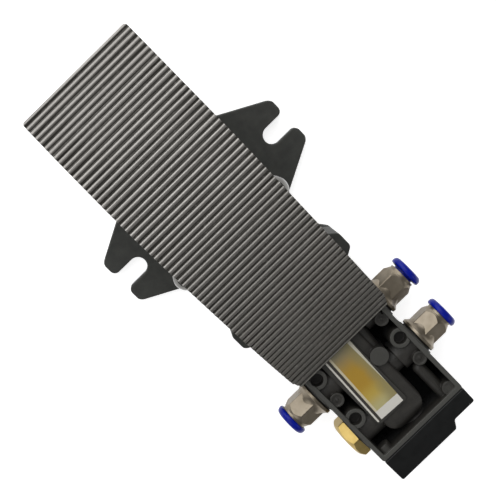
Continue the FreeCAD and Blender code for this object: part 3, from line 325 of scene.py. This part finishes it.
def printed_foil():
    made, tree, surface, place = new_material("printed_foil", {"Roughness": 0.38, "Coat Weight": 0.3})
    shifted = add_node(tree, "ShaderNodeVectorMath", {"operation": "SUBTRACT", 1: label_end}, {0: place})
    turned = add_node(tree, "ShaderNodeMapping", {"Rotation": (0, 0, label_skew)}, {0: shifted.outputs["Vector"]})
    apart = add_node(tree, "ShaderNodeSeparateXYZ", links={0: turned.outputs["Vector"]})
    across, along = apart.outputs["X"], apart.outputs["Y"]
    blotch = add_node(tree, "ShaderNodeTexNoise", {"Scale": per_metre(7.0), "Detail": 2.0}, {"Vector": place})
    settings = {"operation": "MULTIPLY_ADD", 1: field_wander, 2: -field_wander / 2}
    wander = add_node(tree, "ShaderNodeMath", settings, {0: blotch.outputs["Fac"]})
    loose = add_node(tree, "ShaderNodeMath", {"operation": "ADD"}, {0: across, 1: wander.outputs["Value"]})
    settings = {"interpolation_type": "SMOOTHSTEP", "From Min": 0.5 * MM, "From Max": 6.4 * MM, "To Max": 0.9}
    side = add_node(tree, "ShaderNodeMapRange", settings, {"Value": loose.outputs["Value"]})
    field = "#ab872c"
    fades = (((18.5, 11.5), "#b69c46"), ((12.5, 5.5), "#b2a978"), ((25.0, 39.0), "#8b8770"))
    for (start, end), shade in fades:
        settings = {"interpolation_type": "SMOOTHSTEP", "From Min": start * MM, "From Max": end * MM}
        fade = add_node(tree, "ShaderNodeMapRange", settings, {"Value": along})
        field = over(tree, fade.outputs["Result"], field, shade)
    field = over(tree, side.outputs["Result"], field, "#8d8359")
    slanted = add_node(tree, "ShaderNodeMath", {"operation": "MULTIPLY_ADD", 1: 0.06}, {0: along, 2: across})
    bands = (
        (across, "LESS_THAN", -4.35, "#c9c0a4"),
        (slanted.outputs["Value"], "GREATER_THAN", 8.23, "#c0bcac"),
        (along, "LESS_THAN", 4.4, "#d3d0c8"),
        (across, "LESS_THAN", -5.4, "#37332e"),
        (across, "LESS_THAN", -6.75, "#d0cdc4"),
    )
    for value, side_of, edge, shade in bands:
        cut = add_node(tree, "ShaderNodeMath", {"operation": side_of, 1: edge * MM}, {0: value})
        field = over(tree, cut.outputs["Value"], field, shade)
    tree.links.new(field, surface.inputs["Base Color"])
    return made


print("label end in metres:", tuple(label_end), "turned by", label_skew, "radians")

# %% [markdown]
# The rest are common workshop finishes, each with a dark and a light shade, its metal share and its
# roughness. Nickel plate is warm and satin, blue acetal has a soft gloss, the cap is moulded nylon, and the
# buffers are plain moulded rubber. The frame is sprayed in one plain black.

# %% All finishes by slot
plain_finishes = {
    "pin_steel": ("plated_steel", "#61605e", "#757471", 1.0, 0.12, {"relief": 0.03}),
    "screw_steel": ("black_oxide_steel", "#2c2d2f", "#3e3f41", 0.8, 0.42, {}),
    "frame_black": ("sprayed_black_casting", "#30312e", "#3b3c38", 0.0, 0.62, {"grain_mm": 0.6, "relief": 0.5}),
    "bush_bronze": ("machined_bronze", "#8a6a3a", "#a07c45", 1.0, 0.35, {}),
    "buffer_rubber": ("moulded_rubber", "#161616", "#222120", 0.0, 0.68, {}),
    "gland_brass": ("machined_gland_brass", "#a8873f", "#bb9750", 1.0, 0.3, {}),
    "seal_rubber": ("nitrile_rubber", "#121212", "#1c1c1c", 0.0, 0.55, {}),
    "spool_aluminium": ("machined_aluminium", "#a9acae", "#babdbf", 1.0, 0.3, {}),
    "rod_steel": ("ground_steel", "#8f8f8d", "#a2a2a0", 1.0, 0.25, {"relief": 0.1}),
    "spring_steel": ("drawn_spring_wire", "#7f8082", "#929395", 1.0, 0.3, {"relief": 0.1}),
    "cap_black": (
        "moulded_black_nylon", "#0b0c0c", "#141515", 0.0, 0.3,
        {"grain_mm": 0.8, "relief": 0.2, "specular": 0.35},
    ),
    "silencer_brass": ("turned_brass", "#9d874e", "#b0995e", 1.0, 0.32, {"relief": 0.02}),
    "silencer_sinter": ("sintered_bronze", "#6d5230", "#8f7040", 0.6, 0.8, {"grain_mm": 0.35, "relief": 1.0}),
    "fitting_nickel": ("nickel_plated_brass", "#7b7263", "#8c8375", 1.0, 0.36, {"grain_mm": 0.9, "relief": 0.02}),
    "guide_brass": ("guide_ring_brass", "#a8873f", "#bb9750", 1.0, 0.3, {}),
    "collar_blue": ("moulded_blue_acetal", "#001084", "#021a98", 0.0, 0.3, {"relief": 0.06, "specular": 0.2}),
}
finishes = {slot: grained(*plain, **extra)[0] for slot, (*plain, extra) in plain_finishes.items()}
finishes["pedal_grey"] = sprayed_grey_paint()
finishes["body_grey"] = sprayed_dark_casting()
finishes["label_gold"] = printed_foil()
slot_of = {part["node"]: part["material_slot"] for part in record["subparts"]}
for name, node in nodes.items():
    node.data.materials.clear()
    node.data.materials.append(finishes[slot_of[name]])
print("finishes:", len(finishes), "on nodes:", len(nodes))

# %% [markdown]
# A casting never has a knife edge: the die leaves a small radius, and paint or plating rounds it again.
# Those radii catch the light in the photograph, so each piece that shows is copied from its engineering node,
# welded, freed of its flat triangles, and given a rounded edge that suits how it was made.

# %% Round the edges of a copied node
body_of = {name: body for body, names in record["behaviour"]["bodies"].items() for name in names}
weld_mm = 0.002
flat_angle = math.radians(0.3)
sharp_angle = math.radians(30.0)


def pick(piece):
    """Select one object alone and make it the active one."""
    bpy.ops.object.select_all(action="DESELECT")
    piece.select_set(True)
    bpy.context.view_layer.objects.active = piece


def apply_modifier(piece, kind, settings):
    """Add a modifier with its settings and apply it."""
    pick(piece)
    added = piece.modifiers.new(kind.lower(), kind)
    for name, value in settings.items():
        setattr(added, name, value)
    bpy.ops.object.modifier_apply(modifier=added.name)


def hand_over(piece, name, smooth_under=40.0, weighted=True):
    """Shade a finished piece by its angles, and let it stand for the engineering node it was made from."""
    pick(piece)
    bpy.ops.object.shade_smooth_by_angle(angle=math.radians(smooth_under))
    if weighted:
        apply_modifier(piece, "WEIGHTED_NORMAL", {"keep_sharp": True})
    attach(piece, body_of[name])
    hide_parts(name)
    return piece


def welded_copy(name):
    """A copy of an engineering node's mesh, its points merged and its flat triangles joined."""
    piece = bpy.data.objects.new(name + "_rounded", nodes[name].data.copy())
    bpy.context.scene.collection.objects.link(piece)
    pick(piece)
    bpy.ops.object.mode_set(mode="EDIT")
    bpy.ops.mesh.select_all(action="SELECT")
    bpy.ops.mesh.remove_doubles(threshold=weld_mm * MM)
    bpy.ops.mesh.dissolve_limited(angle_limit=flat_angle)
    bpy.ops.object.mode_set(mode="OBJECT")
    return piece


def rounded_copy(name, edge_mm):
    """A copy of an engineering node with all its sharper edges rounded."""
    piece = welded_copy(name)
    settings = {"width": edge_mm * MM, "segments": 2, "limit_method": "ANGLE"}
    settings |= {"angle_limit": sharp_angle, "use_clamp_overlap": False}
    apply_modifier(piece, "BEVEL", settings)
    return hand_over(piece, name)


print("bodies:", sorted(set(body_of.values())))

# %% [markdown]
# Each radius is in millimetres and chosen, as the photograph is too coarse to measure one. Castings
# get the rounder edges, turned and plated pieces finer ones, and the foil label almost none.

# %% Round the castings, pins and label
edge_radii = {
    "base_frame": 0.6,
    "left_cheek": 0.5,
    "right_cheek": 0.5,
    "heel_post": 0.4,
    "toe_post": 0.4,
    "valve_body": 0.3,
    "end_cap": 0.5,
    "pivot_pin": 0.2,
    "pin_cap": 0.2,
    "adjusting_screw": 0.15,
    "lock_nut": 0.25,
    "label_plate": 0.06,
}
rounded = {name: rounded_copy(name, radius) for name, radius in edge_radii.items()}
print("rounded pieces:", {name: len(piece.data.polygons) for name, piece in rounded.items()})

# %% [markdown]
# The pedal's ribs are the first thing the eye meets. Their crests are well rounded, so each catches one thin
# line of light, while the foot of each groove stays crisp. The crest edges all lie on the arch and run across
# the pedal, so they are picked by their distance from the arch's axis and bevelled on their own.

# %% Round the pedal's ribs


def select_edges(piece, wanted):
    """Leave only the wanted edges selected, in edit mode."""
    pick(piece)
    bpy.ops.object.mode_set(mode="EDIT")
    bpy.ops.mesh.select_mode(type="EDGE")
    bpy.ops.mesh.select_all(action="DESELECT")
    bpy.ops.object.mode_set(mode="OBJECT")
    points = piece.data.vertices
    for edge in piece.data.edges:
        edge.select = wanted(points[edge.vertices[0]].co, points[edge.vertices[1]].co)
    bpy.ops.object.mode_set(mode="EDIT")


def across_on_arch(first, second):
    """Is this a long edge that lies on the arch and runs across the pedal?"""
    lift = (first - arch_centre) * Vector((0, 1, 1))
    return abs(lift.length - arch_radius) < 0.02 * MM and abs(first.x - second.x) > 30 * MM


crest_round_mm = 0.68
pedal = welded_copy("pedal")
select_edges(pedal, across_on_arch)
crest_edges = sum(edge.select for edge in pedal.data.edges)
bpy.ops.mesh.bevel(offset=crest_round_mm * MM, segments=5, affect="EDGES", clamp_overlap=False)
bpy.ops.object.mode_set(mode="OBJECT")
hand_over(pedal, "pedal", weighted=False)
print("crest edges rounded:", crest_edges, "faces:", len(pedal.data.polygons))

# %% [markdown]
# A push-in fitting is turned from hexagon bar: the lathe rounds the bar's ends, so that each flat ends in an
# arc, and cuts the flange, the neck and the bore. The same steps make it here. An outline is drawn point by
# point and spun, the bar's corners are bevelled, and the bar is cut to what the lathe would leave.

# %% A lathe
turned_angle = math.radians(35.0)


def lathe(name, outline, edge_mm, steps=96):
    """Spin a closed outline of (along, radius) points in millimetres round the X axis."""
    points = [Vector((along, 0, radius)) * MM for along, radius in outline]
    bpy.ops.object.select_all(action="DESELECT")
    bpy.ops.mesh.primitive_plane_add(size=MM)
    piece = bpy.context.object
    piece.name = name
    bpy.ops.object.mode_set(mode="EDIT")
    bpy.ops.mesh.select_mode(type="VERT")
    bpy.ops.mesh.select_all(action="SELECT")
    bpy.ops.mesh.merge(type="CENTER")
    bpy.ops.transform.translate(value=points[0])
    for start, end in zip(points, points[1:] + points[:1]):
        bpy.ops.mesh.extrude_region_move(TRANSFORM_OT_translate={"value": end - start})
    bpy.ops.mesh.select_all(action="SELECT")
    bpy.ops.mesh.remove_doubles(threshold=0.001 * MM)
    bpy.ops.mesh.spin(steps=steps, angle=math.tau, center=(0, 0, 0), axis=(1, 0, 0))
    bpy.ops.mesh.select_all(action="SELECT")
    bpy.ops.mesh.remove_doubles(threshold=0.001 * MM)
    bpy.ops.mesh.normals_make_consistent(inside=False)
    bpy.ops.object.mode_set(mode="OBJECT")
    settings = {"width": edge_mm * MM, "segments": 3, "limit_method": "ANGLE"}
    apply_modifier(piece, "BEVEL", settings | {"angle_limit": turned_angle})
    return piece


print("the lathe rounds edges sharper than", turned_angle, "radians")

# %% [markdown]
# The bar is a six-sided cylinder laid along X. It is joined to the turned shapes by two boolean steps: the
# first keeps what bar and rounding share, and the second adds the turned core with its flange and bore.

# %% Hexagon bar
bar_length = 40.0
bar_turning_edge = 0.05


def hexagon_bar(flats_mm, length_mm, edge_mm):
    """A hexagon bar along X with a corner up, its six long edges eased."""
    corner = flats_mm / math.sqrt(3) * MM
    bpy.ops.object.select_all(action="DESELECT")
    along_x = (0, math.pi / 2, 0)
    bpy.ops.mesh.primitive_cylinder_add(vertices=6, radius=corner, depth=length_mm * MM, rotation=along_x)
    bar = bpy.context.object
    bpy.ops.object.transform_apply(location=True, rotation=True, scale=True)
    bar.data.transform(Matrix.Rotation(math.pi / 6, 4, "X"))
    select_edges(bar, lambda first, second: abs(first.x - second.x) > 0.5 * length_mm * MM)
    bpy.ops.mesh.bevel(offset=edge_mm * MM, segments=6, affect="EDGES")
    bpy.ops.object.mode_set(mode="OBJECT")
    return bar


def combine(piece, other, operation):
    """Cut or join a piece with another, which is then used up."""
    apply_modifier(piece, "BOOLEAN", {"operation": operation, "object": other, "solver": "EXACT"})
    bpy.data.objects.remove(other)
    return piece


def turned_from_bar(name, flats_mm, bar_edge, rounding, core, edge_mm):
    """Hexagon bar cut to the rounding that a lathe leaves, joined to its turned core."""
    rounded_ends = lathe(name, rounding, bar_turning_edge)
    piece = combine(rounded_ends, hexagon_bar(flats_mm, bar_length, bar_edge), "INTERSECT")
    return combine(piece, lathe(name + "_core", core, edge_mm), "UNION")


print("bar length in millimetres:", bar_length)

# %% [markdown]
# A finished piece is modelled once, on the X axis, and copied to each place. Its own node's box says where:
# the copy's inner end meets the box, and a piece on the left side is turned to point the other way.

# %% Seat a turned piece


def seat(piece, name, smooth_under, turn=0.0):
    """Copy a piece made on the X axis to where its engineering node lies, pointing out to the node's side."""
    low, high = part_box(name)
    middle = (low + high) / 2
    placed = piece.copy()
    placed.data = piece.data.copy()
    placed.name = name + "_rounded"
    bpy.context.scene.collection.objects.link(placed)
    back = min(point.co.x for point in placed.data.vertices)
    start, half_turn = (low.x - back, 0.0) if middle.x > 0 else (high.x + back, math.pi)
    placed.data.transform(Matrix.Rotation(half_turn, 4, "Z") @ Matrix.Rotation(turn, 4, "X"))
    placed.data.transform(Matrix.Translation((start, middle.y, middle.z)))
    placed.data.materials.clear()
    placed.data.materials.append(finishes[slot_of[name]])
    return hand_over(placed, name, smooth_under)


# %% [markdown]
# The three push-in fittings share one shape: 14 mm across flats, with a round flange against the valve and a
# narrowing neck. Outlines are (along, radius) points in millimetres.

# %% Push-in fittings
fitting_rounding = ((2.6, 5.9), (2.6, 8.6), (10.3, 8.6), (11.2, 8.03), (11.8, 7.66), (12.4, 7.3), (12.9, 7.04))
fitting_rounding += ((13.4, 6.84), (13.8, 6.72), (13.8, 5.9))
fitting_core = ((-9.0, 3.0), (-9.0, 6.5), (0.6, 6.5), (0.6, 8.9), (1.0, 9.3), (2.2, 9.3), (2.6, 8.9), (3.0, 8.5))
fitting_core += ((3.5, 8.12), (4.1, 7.75), (4.8, 7.42), (5.6, 7.15), (6.4, 6.9), (7.0, 6.4), (15.1, 6.4))
fitting_core += ((15.1, 5.7), (5.0, 5.7), (5.0, 4.1), (-2.0, 4.1), (-2.0, 3.0))
fitting = turned_from_bar("fitting", 14.0, bar_edge=0.35, rounding=fitting_rounding, core=fitting_core, edge_mm=0.12)
for port, turn in (("a", 20.0), ("b", 0.0), ("p", 0.0)):
    seat(fitting, "fitting_" + port + "_body", smooth_under=14.0, turn=math.radians(turn))
print("faces of one fitting:", len(fitting.data.polygons))
bpy.data.objects.remove(fitting)

# %% [markdown]
# The brass plug of the silencer is 19 mm across flats. Its hexagon is domed, and a round pocket in its
# middle holds the sintered disc.

# %% Silencer plug
plug_rounding = ((0.0, 6.0), (0.0, 10.6), (0.5, 11.3), (2.7, 11.3), (3.6, 10.35), (4.3, 9.6), (4.8, 8.9))
plug_rounding += ((5.1, 8.3), (5.2, 7.7), (5.2, 6.0))
plug_core = ((-9.0, 4.0), (-9.0, 6.5), (0.5, 6.5), (0.5, 7.5), (5.0, 7.5), (5.0, 6.0), (1.2, 6.0), (1.2, 4.0))
plug = turned_from_bar("plug", 19.0, bar_edge=0.45, rounding=plug_rounding, core=plug_core, edge_mm=0.1)
seat(plug, "silencer_body", smooth_under=20.0)
print("faces of the plug:", len(plug.data.polygons))
bpy.data.objects.remove(plug)

# %% [markdown]
# Each release collar is a moulded sleeve with a round lip that a finger presses. It needs the lathe alone.

# %% Release collars
collar_outline = ((9.4, 4.35), (9.4, 4.75), (10.2, 5.1), (16.4, 5.1), (16.4, 6.6), (14.9, 6.6), (14.9, 7.2))
collar_outline += ((15.1, 7.6), (15.5, 7.8), (16.1, 7.85), (16.8, 7.75), (17.4, 7.45), (17.9, 6.95), (18.15, 6.3))
collar_outline += ((18.2, 5.6), (18.1, 4.9), (17.5, 4.3), (10.6, 4.2))
collar = lathe("collar", collar_outline, edge_mm=0.1)
for port in "abp":
    seat(collar, "fitting_" + port + "_collar", smooth_under=40.0)
print("faces of one collar:", len(collar.data.polygons))
bpy.data.objects.remove(collar)
